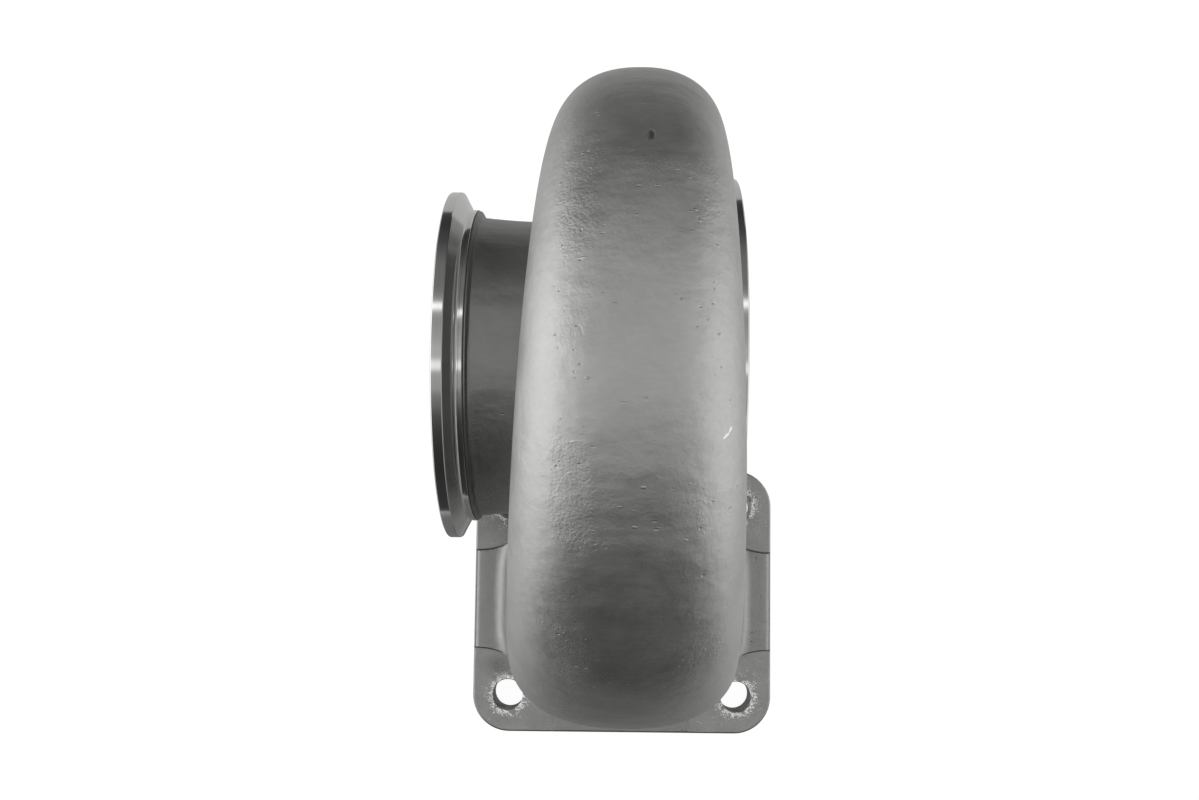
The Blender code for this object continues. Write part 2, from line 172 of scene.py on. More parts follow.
# %% Sizes of the section, at the inlet and at the end of the turn
CROWN_REACH = (124.7 * MM, 72.0 * MM)
CROWN_X, FLOOR_X = (1.7 * MM, 7.0 * MM), 12.5 * MM
OUTLET_SIDE = (-40.2 * MM, -5.5 * MM)
BEARING_SIDE = (38.3 * MM, 26.7 * MM)
NECK_FILLET = (8.0 * MM, 6.0 * MM)
LEFT_BELLY, RIGHT_BELLY = (0.63, 0.35), (0.70, 0.56)
LEFT_SQUARENESS, RIGHT_SQUARENESS, VALLEY_SQUARENESS = 2.43, 2.16, 1.5

# %% One section, as points (x, distance from the axis)


def section_points(section, angle):
    """x = tip_x + (side - tip_x) * |sin a| ^ (2 / squareness), and the distance from the axis is
    belly + (tip - belly) * |cos a| ^ (2 / squareness), where a is counted from the crown."""
    across, along = np.sin(angle), np.cos(angle)
    left, crown = across < 0.0, along > 0.0
    right_squareness = np.where(crown, section["right_squareness"], section["valley_squareness"])
    power = 2.0 / np.where(left, section["left_squareness"], right_squareness)
    tip_x = np.where(crown, section["crown_x"], section["floor_x"])
    side_x = np.where(left, section["left"], section["right"])
    belly = np.where(left, section["left_belly"], section["right_belly"])
    tip = np.where(crown, section["crown"], section["floor"])
    x = tip_x + (side_x - tip_x) * np.abs(across) ** power
    radius = belly + (tip - belly) * np.abs(along) ** power
    return np.stack([x, radius], axis=1)


def between(start, end, share):
    return start + (end - start) * share


def scroll_section(turn, wall, floor):
    """The scroll after a share of its turn. Its reach and its outlet side run evenly, while its bearing side
    and the fillet on the neck fall with the cube of what is left of the turn."""
    crown = between(*CROWN_REACH, turn) - wall
    fall = (1.0 - turn) ** 3
    return {"left": between(*OUTLET_SIDE, turn) + wall,
            "right": between(BEARING_SIDE[1], BEARING_SIDE[0], fall) - wall,
            "crown_x": between(*CROWN_X, turn), "floor_x": FLOOR_X,
            "crown": crown, "floor": floor,
            "left_belly": between(floor, crown, between(*LEFT_BELLY, turn)),
            "right_belly": between(floor, crown, between(*RIGHT_BELLY, turn)),
            "left_squareness": LEFT_SQUARENESS, "right_squareness": RIGHT_SQUARENESS,
            "valley_squareness": VALLEY_SQUARENESS,
            "left_fillet": between(NECK_FILLET[1], NECK_FILLET[0], fall),
            "neck": NECK_RADIUS + NECK_DROP * math.cos(2.0 * math.pi * turn)}


CORE_RADIUS = 46.0 * MM
inlet_section = scroll_section(0.0, 0.0, CORE_RADIUS)
print("inlet section, mm:", [round(inlet_section[key] / MM, 1) for key in ("left", "right", "crown")])

# %% [markdown]
# ## Fillets in the valleys
#
# Sand can't hold a knife edge, so a casting has a fillet wherever two walls meet. Where the side of the
# scroll meets the neck, a ball of the fillet's radius is rolled down the wall until it also touches the neck,
# and the arc between the two touching points is the fillet.

# %% The outside of a section, fillets included
CROWN_POINTS = 97
VALLEY_POINTS = 12
WALL_POINTS = 721
FOOT_DEPTH = 0.2 * MM
BEARING_FILLET = 3.0 * MM


def valley(section, side, hub_radius, fillet):
    """The ball's centres are the wall's points moved out by its radius; where a centre is one radius above
    the hub, the ball touches both."""
    angle = side * np.linspace(0.02, 0.98, WALL_POINTS) * math.pi
    points = section_points(section, angle)
    along = np.gradient(points, axis=0)
    along /= np.linalg.norm(along, axis=1)[:, None]
    centres = points + fillet * side * np.stack([-along[:, 1], along[:, 0]], axis=1)
    centre_radius = hub_radius - FOOT_DEPTH + fillet
    touch = np.interp(-centre_radius, -centres[:, 1], np.abs(angle))
    centre_x = np.interp(-centre_radius, -centres[:, 1], centres[:, 0])
    start = section_points(section, np.array([side * touch]))[0] - (centre_x, centre_radius)
    turn = np.linspace(math.atan2(-start[0] * side, -start[1]), 0.0, VALLEY_POINTS)
    arc = np.stack([centre_x - side * fillet * np.sin(turn), centre_radius - fillet * np.cos(turn)], axis=1)
    return touch, arc


def skin_loop(section):
    """From one valley over the crown to the other, closed inside the hub."""
    left_touch, left_arc = valley(section, -1.0, section["neck"], section["left_fillet"])
    right_touch, right_arc = valley(section, 1.0, BEARING_COLLAR_RADIUS, BEARING_FILLET)
    over = section_points(section, np.linspace(-left_touch, right_touch, CROWN_POINTS))
    inside = np.array([[right_arc[-1, 0], section["floor"]], [left_arc[-1, 0], section["floor"]]])
    return np.concatenate([over, right_arc[1:], inside, left_arc[:0:-1]])


print("points round the skin:", len(skin_loop(inlet_section)))

# %% [markdown]
# ## The duct
#
# The duct leads from the flange to the scroll. It starts as the port's rounded rectangle plus a wall, and
# eases into the scroll's first section on the way up. Towards the flange it spreads into a foot, with a small
# fillet at its end.

# %% Rings of the duct


def duct_section(wall, squareness, longer=0.0):
    """Half the port's length + wall + longer, by half its width + wall, round the line y = 0."""
    half_length, half_width = PORT_HALF_LENGTH + wall + longer, PORT_HALF_WIDTH + wall
    return {"left": -half_length, "right": half_length, "crown_x": 0.0, "floor_x": 0.0,
            "crown": AXIS_Y + half_width, "floor": AXIS_Y - half_width,
            "left_belly": AXIS_Y, "right_belly": AXIS_Y, "left_squareness": squareness,
            "right_squareness": squareness, "valley_squareness": squareness}


def straight_ring(loop, height):
    """y = axis - distance, at one height."""
    return np.stack([loop[:, 0], AXIS_Y - loop[:, 1], np.full(len(loop), height)], axis=1)


def turned_ring(loop, angle):
    """y = axis - distance * cos(angle), z = axis height + distance * sin(angle)."""
    return np.stack([loop[:, 0], AXIS_Y - loop[:, 1] * math.cos(angle),
                     AXIS_HEIGHT + loop[:, 1] * math.sin(angle)], axis=1)


def blended(first, second, share):
    """Part of the way from one loop to another, easing with 3 s^2 - 2 s^3."""
    return first + (second - first) * share * share * (3.0 - 2.0 * share)


print("port, mm:", [round(2.0 * half / MM, 1) for half in (PORT_HALF_LENGTH, PORT_HALF_WIDTH)])

# %% [markdown]
# ## The skin of the scroll
#
# The same profile is now carried round the axis while it shrinks. The tail ends inside the duct, as it does
# in the real casting, where the tongue parts the gas that comes in from the gas that has gone all the way
# round.

# %% Skin of duct and scroll
SCROLL_STEPS = 220
DUCT_STEPS = 28
FULL_TURN = 0.985
DUCT_WALL, DUCT_SQUARENESS = 6.5 * MM, 4.2
FOOT_LENGTH, FOOT_RISE = 5.3 * MM, 30.0 * MM
FOOT_FILLET = 5.2 * MM
FILLET_DEGREES = (0.0, 6.0, 14.0, 24.0, 34.0, 45.0, 56.0, 68.0, 80.0, 90.0)


def foot(rise):
    """How much longer the duct is: FOOT_LENGTH * (1 - s)^2 (1 + 2 s), where s = rise / FOOT_RISE."""
    share = min(rise / FOOT_RISE, 1.0)
    return FOOT_LENGTH * (1.0 - share) ** 2 * (1.0 + 2.0 * share)


def scroll_skin():
    """Rings up the fillet, up the duct, and round the turn. At the angle a of the fillet its flare is
    radius * (1 - sin a) and its rise is radius * (1 - cos a)."""
    inlet = skin_loop(scroll_section(0.0, 0.0, CORE_RADIUS))
    count = len(inlet)
    start = math.pi * (CROWN_POINTS - 1) / count
    angles = np.linspace(-start, 2.0 * math.pi - start, count, endpoint=False)
    rise_of_duct = AXIS_HEIGHT - PAD_TOP
    rings = []
    for degrees in FILLET_DEGREES:
        flare = FOOT_FILLET * (1.0 - math.sin(math.radians(degrees)))
        rise = FOOT_FILLET * (1.0 - math.cos(math.radians(degrees)))
        loop = section_points(duct_section(DUCT_WALL + flare, DUCT_SQUARENESS, foot(rise)), angles)
        if not rings:
            rings.append(straight_ring(loop, FLANGE_THICKNESS / 2.0))
        rings.append(straight_ring(blended(loop, inlet, rise / rise_of_duct), PAD_TOP + rise))
    for share in np.linspace(FOOT_FILLET / rise_of_duct, 1.0, DUCT_STEPS + 1)[1:-1]:
        rise = rise_of_duct * share
        loop = section_points(duct_section(DUCT_WALL, DUCT_SQUARENESS, foot(rise)), angles)
        rings.append(straight_ring(blended(loop, inlet, share), PAD_TOP + rise))
    for turn in np.linspace(0.0, FULL_TURN, SCROLL_STEPS + 1):
        loop = skin_loop(scroll_section(turn, 0.0, CORE_RADIUS))
        rings.append(turned_ring(loop, 2.0 * math.pi * turn))
    return solid_from_rings("scroll_skin", np.stack(rings), [cast_steel])


# %% [markdown]
# ## The gas passage
#
# Inside, the same sections lose the thickness of the wall. This solid is the core that the foundry lays in
# the mould, and cutting it away leaves the passage.

# %% Core of the passage
PASSAGE_POINTS = 96
PORT_SQUARENESS = 6.0
SCROLL_WALL, PASSAGE_FLOOR = 5.0 * MM, 58.0 * MM
BELOW_FLANGE = 5.0 * MM


def passage_core():
    """The port eases into the scroll's first section less its wall, and the scroll's sections follow."""
    angles = np.arange(PASSAGE_POINTS) * 2.0 * math.pi / PASSAGE_POINTS
    port = section_points(duct_section(0.0, PORT_SQUARENESS), angles)
    inlet = section_points(scroll_section(0.0, SCROLL_WALL, PASSAGE_FLOOR), angles)
    rings = [straight_ring(port, -BELOW_FLANGE)]
    for share in np.linspace(0.0, 1.0, DUCT_STEPS + 1)[:-1]:
        rings.append(straight_ring(blended(port, inlet, share), AXIS_HEIGHT * share))
    for turn in np.linspace(0.0, FULL_TURN, SCROLL_STEPS + 1):
        loop = section_points(scroll_section(turn, SCROLL_WALL, PASSAGE_FLOOR), angles)
        rings.append(turned_ring(loop, 2.0 * math.pi * turn))
    return solid_from_rings("passage_core", np.stack(rings), [cast_steel])


# %% [markdown]
# ## Turned forms
#
# The neck, both clamp rings and the bores are turned: one profile, a list of points (x, radius) in
# millimetres, goes round the axis. A clamp ring is a flat rim, a cone that the clamp band pulls on, and a low
# collar behind it.

# %% A profile round the turbine axis
TURNED_STEPS = 360
TURNED, CAST = 0, 1


def turned(name, profile, materials, bands=None, drop=0.0):
    """Point (x, r) goes to y = axis + r sin a - drop and z = axis height + r cos a, for every angle a."""
    x, radius = np.array(profile).T * MM
    angle = (np.arange(TURNED_STEPS) + 0.5) * 2.0 * math.pi / TURNED_STEPS
    rings = np.stack([np.broadcast_to(x[:, None], (len(x), TURNED_STEPS)),
                      AXIS_Y + radius[:, None] * np.sin(angle) - np.reshape(drop, (-1, 1)),
                      AXIS_HEIGHT + radius[:, None] * np.cos(angle)], axis=-1)
    return solid_from_rings(name, rings, materials, bands)


# %% The hub with its two clamp rings
OUTLET_FACE_X, OUTLET_RIM, OUTLET_COLLAR = -61.0, 60.0, 54.0
BEARING_FACE_X, BEARING_RIM, BEARING_COLLAR = 35.9, 65.6, 59.6
RIDGE_POINTS = 6


def clamp_ring_profile(face_x, inwards, rim, collar):
    """Rim with rounded edges, cone, a fine groove at the cone's foot, and the collar."""
    points = [(0.0, rim - 0.45), (0.12, rim - 0.18), (0.4, rim), (3.45, rim), (3.72, rim - 0.14),
              (3.86, rim - 0.5), (6.35, collar + 0.75), (6.6, collar + 0.3), (6.95, collar + 0.02),
              (7.3, collar - 0.12), (7.75, collar - 0.1), (7.95, collar + 0.12), (8.95, collar + 0.12),
              (9.1, collar - 0.06)]
    return [(face_x + inwards * x, radius) for x, radius in points]


def hub_solid():
    """The neck is left as cast, so it sits a little off the axis that the rings are turned on. Only its first
    points, the ridge where the lathe stopped, sit on that axis."""
    outlet = clamp_ring_profile(OUTLET_FACE_X, 1.0, OUTLET_RIM, OUTLET_COLLAR)
    neck = [(-51.8, 53.5), (-51.5, 53.75), (-51.15, 53.7), (-50.85, 53.2), (-50.65, 52.6), (-50.45, 52.2),
            (-50.1, 51.95), (-49.3, 51.8), (-47.5, 51.62), (-45.0, 51.4), (-41.5, 51.12), (-38.0, 50.9),
            (-34.0, 50.75), (-20.0, 50.7), (6.0, 50.7), (12.5, BEARING_COLLAR)]
    bearing = clamp_ring_profile(BEARING_FACE_X, -1.0, BEARING_RIM, BEARING_COLLAR)[::-1]
    bands = [TURNED] * (len(outlet) - 1) + [CAST] * (len(neck) + 1) + [TURNED] * (len(bearing) - 1)
    drop = np.zeros(len(outlet) + len(neck) + len(bearing))
    drop[len(outlet) + RIDGE_POINTS:len(outlet) + len(neck) - 1] = NECK_DROP
    return turned("casting", outlet + neck + bearing, [turned_steel, cast_steel], bands, drop)


# %% The bores and the nozzle slot
WHEEL_STEPS = 24


def bore_cutter():
    """Register, bore and diffuser from the outlet side, the wheel's curve, the slot, and the bearing side.
    The curve is x = -14 + 20 sin a, radius = 42.5 - 4 cos a, over a quarter turn."""
    wheel = [(-14.0 + 20.0 * math.sin(a), 42.5 - 4.0 * math.cos(a))
             for a in np.linspace(0.0, math.pi / 2.0, WHEEL_STEPS)]
    profile = [(-66.0, 49.5), (-58.5, 49.5), (-58.5, 46.0), (-46.0, 46.0), (-18.0, 38.5)] + wheel
    profile += [(6.0, 61.0), (19.0, 61.0), (19.0, 50.5), (32.9, 50.5), (32.9, 56.0), (40.9, 56.0)]
    return turned("bore_cutter", profile, [turned_steel])


def relief_cutter():
    """Room for the clamp behind the bearing-side ring."""
    return turned("relief_cutter", [(27.6, 30.0), (27.6, 67.4), (28.8, 68.6), (43.3, 68.6), (43.3, 30.0)],
                  [turned_steel])


# %% [markdown]
# ## The inlet flange
#
# The flange is a plate with four bolt holes. A milling cutter has faced its corners, where the nuts sit, and
# the cast metal that it left between them stands a little higher, with the cutter's round edge as its border.
# The cutter has also bitten a round pocket into each corner of the duct's foot. The next cells' sizes are in
# millimetres.

# %% A plate from an outline
FLANGE_LENGTH, FLANGE_WIDTH, FLANGE_CORNER = 122.2, 108.0, 15.0
CORNER_POINTS = 17


def corner_arc(x, y, radius, start):
    """A quarter circle round (x, y), from the angle start on."""
    angle = np.radians(np.linspace(start, start + 90.0, CORNER_POINTS))
    return np.stack([x + radius * np.cos(angle), y + radius * np.sin(angle)], axis=1)


def rounded_rectangle(length, width, radius, inset):
    """Four quarter circles, with every side moved in by the inset."""
    half_x, half_y = length / 2.0 - radius, width / 2.0 - radius
    corners = [corner_arc(sx * half_x, sy * half_y, radius - inset, start)
               for sx, sy, start in ((1, 1, 0.0), (-1, 1, 90.0), (-1, -1, 180.0), (1, -1, 270.0))]
    return np.concatenate(corners)


def at_height(outline, height):
    return np.column_stack([outline, np.full(len(outline), height)])


def flange_plate():
    """Outlines that are inset a little at both ends round its edges off."""
    levels = [(0.35, 0.0), (0.1, 0.12), (0.0, 0.4), (0.0, 14.4), (0.2, 14.82), (0.6, 15.0)]
    rings = [at_height(rounded_rectangle(FLANGE_LENGTH, FLANGE_WIDTH, FLANGE_CORNER, inset), z)
             for inset, z in levels]
    return solid_from_rings("flange_plate", np.stack(rings) * MM, [milled_steel, cast_steel], [1, 1, 1, 1, 0])


# %% The cast pads between the faced corners
CUTTER_RADIUS = 33.0
CUTTER_X, CUTTER_Y = 27.5 + CUTTER_RADIUS, 20.0 + CUTTER_RADIUS
PAD_END_X, PAD_END_Y = 60.7, 53.6
PAD_ARC_POINTS = 25


def pad_outline(inset):
    """A cross whose inner corners are the milling cutter's arcs. Inset moves its left and right ends in,
    a third of it the other two, and a fifth of it the arcs."""
    end_x, end_y, radius = PAD_END_X - inset, PAD_END_Y - inset / 3.0, CUTTER_RADIUS + 0.2 * inset
    points = []
    for turn, (sx, sy) in enumerate(((1, 1), (-1, 1), (-1, -1), (1, -1))):
        centre = np.array([CUTTER_X, CUTTER_Y])
        angle = np.radians(np.linspace(270.0, 180.0, PAD_ARC_POINTS))
        arc = centre + radius * np.stack([np.cos(angle), np.sin(angle)], axis=1)
        arc[:, 0] = np.minimum(arc[:, 0], end_x)
        arc[:, 1] = np.minimum(arc[:, 1], end_y)
        quarter = np.concatenate([[(end_x, arc[0, 1])], arc, [(arc[-1, 0], end_y)]]) * (sx, sy)
        points.append(quarter if turn % 2 == 0 else quarter[::-1])
    return np.concatenate(points)


def flange_pads():
    levels = [(0.0, 12.8), (0.0, 15.2), (0.15, 15.9), (0.55, 16.6), (1.15, 17.02), (2.0, 17.2)]
    rings = [at_height(pad_outline(inset), z) for inset, z in levels]
    return solid_from_rings("flange_pads", np.stack(rings) * MM, [cast_steel])


# %% The milling cutter, from the corners' face up
CUTTER_POINTS = 160
CUTTER_FOOT, CUTTER_TOP = 15.0, 46.0


def circle(x, y, radius, count):
    """(x + radius * cos a, y + radius * sin a), for every angle a."""
    angle = np.arange(count) * 2.0 * math.pi / count
    return np.column_stack([x + radius * np.cos(angle), y + radius * np.sin(angle)])


def cutter(x, y):
    """A cylinder whose foot is the corner's face."""
    outline = circle(x, y, CUTTER_RADIUS, CUTTER_POINTS)
    rings = [at_height(outline, z) for z in (CUTTER_FOOT, CUTTER_TOP)]
    return solid_from_rings("cutter", np.stack(rings) * MM, [milled_steel])


# %% A bolt hole with a small chamfer at each end
BOLT_X, BOLT_Y = 46.85, 39.1
HOLE_POINTS = 96


def bolt_hole(x, y):
    """Circles of a radius at a height, and the first and last lie clear of the plate."""
    levels = [(8.6, -2.0), (6.6, 0.0), (6.2, 0.4), (6.2, 14.7), (6.5, 15.0), (11.5, 20.0)]
    rings = [at_height(circle(x, y, radius, HOLE_POINTS), z) for radius, z in levels]
    return solid_from_rings("bolt_hole", np.stack(rings) * MM, [milled_steel])


# %% [markdown]
# ## One casting
#
# The skin gets its clamp relief and the cutter's pockets while it is alone, and the plate its bolt holes. Then
# the forms are added to each other, and last the core and the bores are cut from all of them.

# %% Put the casting together
SHARP_DEGREES = 24.0
casting = hub_solid()
skin = scroll_skin()
combine(skin, relief_cutter(), "DIFFERENCE", crosses_itself=True)
for cutter_x in (-CUTTER_X, CUTTER_X):
    for cutter_y in (-CUTTER_Y, CUTTER_Y):
        combine(skin, cutter(cutter_x, cutter_y), "DIFFERENCE", crosses_itself=True)
combine(casting, skin, "UNION")
plate = flange_plate()
for hole_x in (-BOLT_X, BOLT_X):
    for hole_y in (-BOLT_Y, BOLT_Y):
        combine(plate, bolt_hole(hole_x, hole_y), "DIFFERENCE")
combine(casting, plate, "UNION")
combine(casting, flange_pads(), "UNION")
combine(casting, passage_core(), "DIFFERENCE", crosses_itself=True)
combine(casting, bore_cutter(), "DIFFERENCE")
casting.data.name = "casting"
casting.data.shade_smooth()
casting.data.set_sharp_from_angle(angle=math.radians(SHARP_DEGREES))
print("casting:", len(casting.data.polygons), "faces,", [finish.name for finish in casting.data.materials])

# %% The casting stands for the CAD node
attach(casting, "root")
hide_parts("turbine_housing")

# %% [markdown]
# ## Finishes: small tools for nodes
#
# Bare metal has no colour of its own beside what it reflects, so a finish is mostly how rough it is and how
# its surface is shaped on a small scale. Each effect that two finishes share is a node group that puts out a
# number or a mask, and the shader itself stays in the material.

# %% Adding and linking nodes


def add(tree, kind, inputs=None, **settings):
    """Makes a node, with its settings, and fills each input with a number or joins it to a socket."""
    made = tree.nodes.new(kind)
    for name, value in settings.items():
        setattr(made, name, value)
    for key, value in (inputs or {}).items():
        if isinstance(value, bpy.types.NodeSocket):
            tree.links.new(value, made.inputs[key])
        else:
            made.inputs[key].default_value = value
    return made


def calculate(tree, operation, first, second=0.0, third=0.0):
    """One step of arithmetic on numbers or sockets."""
    return add(tree, "ShaderNodeMath", {0: first, 1: second, 2: third}, operation=operation).outputs[0]


def ranged(tree, value, low, high, start, end, smooth=True):
    """Takes a value from the range low..high to the range start..end, and stops at both ends."""
    kind = "SMOOTHSTEP" if smooth else "LINEAR"
    made = add(tree, "ShaderNodeMapRange", {"Value": value, "From Min": low, "From Max": high,
                                            "To Min": start, "To Max": end}, interpolation_type=kind)
    return made.outputs["Result"]


# %% Places, their parts and their lengths


def mapped(tree, place, location=(0.0, 0.0, 0.0), scale=(1.0, 1.0, 1.0), turn=0.0):
    """The place scaled, then turned about Z, then moved."""
    made = add(tree, "ShaderNodeMapping", {"Vector": place, "Location": location, "Scale": scale,
                                           "Rotation": (0.0, 0.0, turn)})
    return made.outputs["Vector"]


def parts_of(tree, vector):
    return add(tree, "ShaderNodeSeparateXYZ", {"Vector": vector}).outputs


def length_of(tree, vector):
    return add(tree, "ShaderNodeVectorMath", {0: vector}, operation="LENGTH").outputs["Value"]


# %% Making and placing a node group


def new_group(name, inputs, outputs):
    """An empty group: inputs maps a name to its first value, and a name with None is a vector."""
    tree = bpy.data.node_groups.new(name, "ShaderNodeTree")
    for key, value in inputs.items():
        kind = "NodeSocketVector" if value is None else "NodeSocketFloat"
        socket = tree.interface.new_socket(name=key, in_out="INPUT", socket_type=kind)
        if value is not None:
            socket.default_value = value
    for key in outputs:
        tree.interface.new_socket(name=key, in_out="OUTPUT", socket_type="NodeSocketFloat")
    print(name, "gives", outputs)
    return tree, add(tree, "NodeGroupInput").outputs, add(tree, "NodeGroupOutput")


def use(tree, group, inputs):
    """Places a group in a material."""
    return add(tree, "ShaderNodeGroup", inputs, node_tree=group).outputs


print("node tools ready")

# %% [markdown]
# ## Grain
#
# Sand and shot leave a skin of tiny bumps, which lie on softer waves a few millimetres long. Two noises of
# different size give both, and a third, four times slower than the waves, gives blotches. All three metals
# share the group and use it at different sizes and strengths.

# %% Group: grain
grain, given, result = new_group("grain", {"Place": None, "Grain size mm": 0.6, "Wave size mm": 5.0},
                                 ["Grain", "Waves", "Blotches"])
for socket, size, per_metre, detail, roughness in (("Grain", "Grain size mm", 1000.0, 3.0, 0.6),
                                                   ("Waves", "Wave size mm", 1000.0, 2.0, 0.45),
                                                   ("Blotches", "Wave size mm", 250.0, 4.0, 0.65)):
    frequency = calculate(grain, "DIVIDE", per_metre, given[size])
    noise = add(grain, "ShaderNodeTexNoise", {"Vector": given["Place"], "Scale": frequency,
                                              "Detail": detail, "Roughness": roughness})
    grain.links.new(noise.outputs["Fac"], result.inputs[socket])


def grain_at(tree, place, grain_size, wave_size):
    """Places the group, with both sizes in millimetres."""
    return use(tree, grain, {"Place": place, "Grain size mm": grain_size, "Wave size mm": wave_size})


# %% [markdown]
# ## Pits and nicks
#
# Gas and dirt leave pits in a cast skin, and handling leaves short nicks in every metal. A cell pattern gives
# each cell a random number, and only the cells with the lowest numbers show their mark.

# %% Group: sparse marks
marks, given, result = new_group("marks", {"Place": None, "Spacing mm": 6.0, "Share": 0.2, "Radius": 0.12},
                                 ["Mask"])
frequency = calculate(marks, "DIVIDE", 1000.0, given["Spacing mm"])
cells = add(marks, "ShaderNodeTexVoronoi", {"Vector": given["Place"], "Scale": frequency})
lot = add(marks, "ShaderNodeSeparateColor", {"Color": cells.outputs["Color"]})
chosen = calculate(marks, "LESS_THAN", lot.outputs["Red"], given["Share"])
size_lot = ranged(marks, lot.outputs["Green"], 0.0, 1.0, 0.4, 1.0, False)
reach = calculate(marks, "MULTIPLY", given["Radius"], size_lot)
depth = calculate(marks, "SUBTRACT", 1.0, calculate(marks, "DIVIDE", cells.outputs["Distance"], reach))
inside = ranged(marks, depth, 0.0, 0.7, 0.0, 1.0)
marks.links.new(calculate(marks, "MULTIPLY", inside, chosen), result.inputs["Mask"])


def marks_at(tree, place, spacing, share, radius):
    """Places the group, with the spacing in millimetres and the radius as a share of it."""
    return use(tree, marks, {"Place": place, "Spacing mm": spacing, "Share": share, "Radius": radius})["Mask"]


# %% [markdown]
# ## Marks at known places
#
# Some marks are placed one by one. Each is an ellipsoid with its own centre, half sizes and turn about Z, and
# the metal is marked where it passes through it.

# %% Group: placed mark
placed, given, result = new_group("placed_mark", {"Place": None, "Centre": None, "Half sizes": None,
                                                  "Turn": 0.0}, ["Distance", "Sideways", "Mask"])
turn = add(placed, "ShaderNodeCombineXYZ", {"Z": given["Turn"]}).outputs["Vector"]
in_mark = add(placed, "ShaderNodeMapping", {"Vector": given["Place"], "Location": given["Centre"],
                                            "Rotation": turn, "Scale": given["Half sizes"]},
              vector_type="TEXTURE").outputs["Vector"]
away = length_of(placed, in_mark)
for socket, value in (("Distance", away), ("Sideways", parts_of(placed, in_mark)["X"]),
                      ("Mask", ranged(placed, away, 0.0, 1.0, 1.0, 0.0))):
    placed.links.new(value, result.inputs[socket])


def mark_at(tree, place, centre, half_sizes, degrees=0.0):
    """Places the group, with centre and half sizes in millimetres."""
    return use(tree, placed, {"Place": place, "Centre": [value * MM for value in centre],
                              "Half sizes": [value * MM for value in half_sizes],
                              "Turn": math.radians(degrees)})


# %% [markdown]
# ## The corners of the flange
#
# The flange is the same on all four corners, so the absolute values of x and y serve them all. The group
# gives the distances from the nearest bolt hole and from the milling cutter's centre, and a thin line where
# the cutter's edge stopped: a shallow groove, and painted shade for the corner of that step.

# %% Group: flange corner
EDGE_LINE, EDGE_TOP, EDGE_SIDE = (0.15 * MM, 0.45 * MM), (17.6 * MM, 18.2 * MM), (36.0 * MM, 42.0 * MM)
corner, given, result = new_group("flange_corner", {"Place": None},
                                  ["From hole", "From cutter", "Cutter groove and shade"])
parts = parts_of(corner, given["Place"])
across, along = (calculate(corner, "ABSOLUTE", parts[key]) for key in ("X", "Y"))
for name, centre_x, centre_y in (("From hole", BOLT_X, BOLT_Y), ("From cutter", CUTTER_X, CUTTER_Y)):
    sideways = calculate(corner, "SUBTRACT", across, centre_x * MM)
    lengthways = calculate(corner, "SUBTRACT", along, centre_y * MM)
    squared = calculate(corner, "MULTIPLY", lengthways, lengthways)
    away = calculate(corner, "SQRT", calculate(corner, "MULTIPLY_ADD", sideways, sideways, squared))
    corner.links.new(away, result.inputs[name])
# Painted shade: the thin dark line along the cutter's edge stands in for the shade in the corner of the step.
off_edge = calculate(corner, "ABSOLUTE", calculate(corner, "SUBTRACT", away, CUTTER_RADIUS * MM))
line = ranged(corner, off_edge, *EDGE_LINE, 1.0, 0.0)
low_line = calculate(corner, "MULTIPLY", line, ranged(corner, parts["Z"], *EDGE_TOP, 1.0, 0.0))
cutter_groove_and_shade = calculate(corner, "MULTIPLY", low_line, ranged(corner, across, *EDGE_SIDE, 0.1, 1.0))
corner.links.new(cutter_groove_and_shade, result.inputs["Cutter groove and shade"])

# %% [markdown]
# ## Putting a finish together
#
# Every finish adds its patterns up to one height, lets masks say how dark a place is, and gives both to the
# material's own shader, which is fully metallic.

# %% Helpers for metal


def weighted_sum(tree, layers):
    """Sum over the layers of pattern * weight. For a height the weights are millimetres."""
    total = 0.0
    for pattern, weight in layers:
        total = calculate(tree, "MULTIPLY_ADD", pattern, weight, total)
    return total


def strongest(tree, masks):
    """The largest of mask * share."""
    largest = 0.0
    for mask, share in masks:
        largest = calculate(tree, "MAXIMUM", calculate(tree, "MULTIPLY", mask, share), largest)
    return largest


def tone(tree, share, dark, light):
    """A colour between two greys, or between sockets."""
    made = add(tree, "ShaderNodeMix", {"Factor": share}, data_type="RGBA")
    for key, value in (("A", dark), ("B", light)):
        if isinstance(value, bpy.types.NodeSocket):
            tree.links.new(value, made.inputs[key])
        else:
            made.inputs[key].default_value = (*value, 1.0)
    return made.outputs["Result"]


def steel_shader(material, roughness, height, colour):
    """Joins a finish's roughness, height in millimetres and colour to the material's shader."""
    tree = material.node_tree
    shader = tree.nodes["Principled BSDF"]
    shader.inputs["Metallic"].default_value = 1.0
    bump = add(tree, "ShaderNodeBump", {"Height": height, "Distance": MM})
    tree.links.new(bump.outputs["Normal"], shader.inputs["Normal"])
    tree.links.new(colour, shader.inputs["Base Color"])
    tree.links.new(roughness, shader.inputs["Roughness"])
    print(material.name, len(tree.nodes), "nodes")


# %% [markdown]
# ## Cast steel
#
# The cast skin is satin: rough enough to blur what it reflects. On it lie waves, grain, a few pits and dents,
# and dashes that run across the scroll where it was cleaned. The dashes crowd on the flanks, where the skin is
# also a little worn. The neck was rubbed smoother, and its valley is darkened as painted shade. The cast metal
# is darker towards the flange, and the cutter's edge is a thin line of painted shade.

# %% Cast steel: grain and random marks
tree = cast_steel.node_tree
place = add(tree, "ShaderNodeTexCoord").outputs["Object"]
along_dashes = mapped(tree, place, scale=(0.38, 1.0, 1.0))
along_ridges = mapped(tree, place, (0.03, 0.02, 0.01), (0.45, 1.0, 1.0), 0.5)
skin_grain = grain_at(tree, place, 0.9, 5.0)
brushed = grain_at(tree, along_dashes, 1.3, 9.0)
pits = marks_at(tree, place, 6.0, 0.16, 0.07)
dents = marks_at(tree, place, 9.0, 0.5, 0.13)
nicks = marks_at(tree, along_dashes, 2.0, 0.5, 0.22)
ridges = marks_at(tree, along_ridges, 2.4, 0.45, 0.20)
print("cast steel, patterns:", len(tree.nodes), "nodes")
